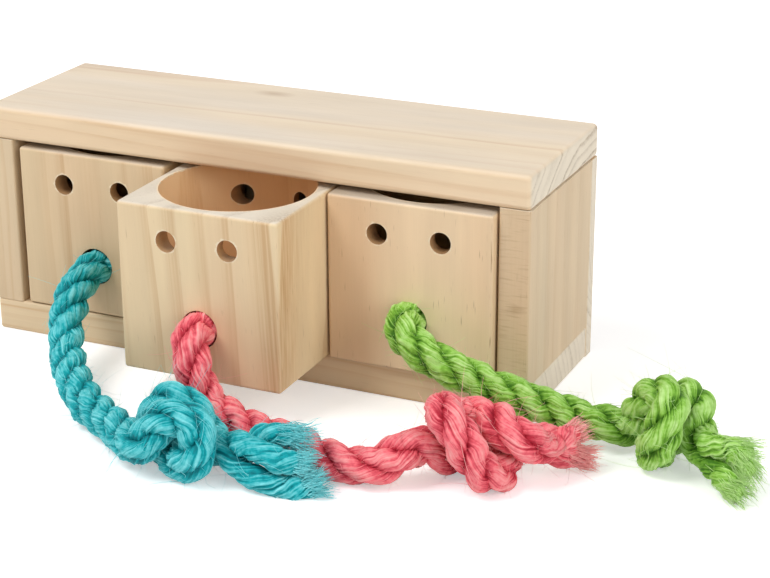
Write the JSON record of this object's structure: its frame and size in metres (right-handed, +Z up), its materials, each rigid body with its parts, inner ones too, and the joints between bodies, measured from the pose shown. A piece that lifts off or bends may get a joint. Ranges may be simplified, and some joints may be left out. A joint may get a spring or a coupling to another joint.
{
  "type": "treat drawer chest",
  "caption": "Small pine chest for pets with loose drawer blocks side by side, each bored out as a treat cup and pulled by a knotted sisal rope.",
  "frame": {"origin": "middle of the chest's base, on the surface that it stands on", "axes": "+X to the right along the chest's length, +Y to the back, +Z up; the drawers pull out along -Y"},
  "size_m": [0.2996, 0.1691, 0.0862],
  "materials": {
    "carcass_pine": "sanded, bare",
    "drawer_pine": "sanded, bare",
    "beech_dowel": "turned, bare",
    "brad_steel": "drawn, bright",
    "teal_sisal": "dyed laid rope",
    "coral_sisal": "dyed laid rope",
    "green_sisal": "dyed laid rope"
  },
  "bodies": {
    "carcass": {"top_board": "carcass_pine", "bottom_board": "carcass_pine", "left_side_panel": "carcass_pine", "right_side_panel": "carcass_pine", "back_panel": "carcass_pine", "top_dowels": "beech_dowel", "bottom_dowels": "beech_dowel", "back_panel_brads": "brad_steel"},
    "left_drawer": {"left_drawer": "drawer_pine", "left_stopper_knot": "teal_sisal", "left_rope": "teal_sisal", "left_rope_knot": "teal_sisal", "left_rope_tail": "teal_sisal"},
    "middle_drawer": {"middle_drawer": "drawer_pine", "middle_stopper_knot": "coral_sisal", "middle_rope": "coral_sisal", "middle_rope_knot": "coral_sisal", "middle_rope_tail": "coral_sisal"},
    "right_drawer": {"right_drawer": "drawer_pine", "right_stopper_knot": "green_sisal", "right_rope": "green_sisal", "right_rope_knot": "green_sisal", "right_rope_tail": "green_sisal"}
  },
  "joints": [
    {"name": "left_drawer_slide", "type": "slide", "parent": "carcass", "child": "left_drawer", "axis": [0, -1, 0], "range_m": [0, 0.042]},
    {"name": "middle_drawer_slide", "type": "slide", "parent": "carcass", "child": "middle_drawer", "axis": [0, -1, 0], "range_m": [-0.038, 0.004], "deforming": ["middle_rope", "middle_rope_knot", "middle_rope_tail"]},
    {"name": "right_drawer_slide", "type": "slide", "parent": "carcass", "child": "right_drawer", "axis": [0, -1, 0], "range_m": [-0.003, 0.039], "deforming": ["right_rope", "right_rope_knot", "right_rope_tail"]}
  ]
}
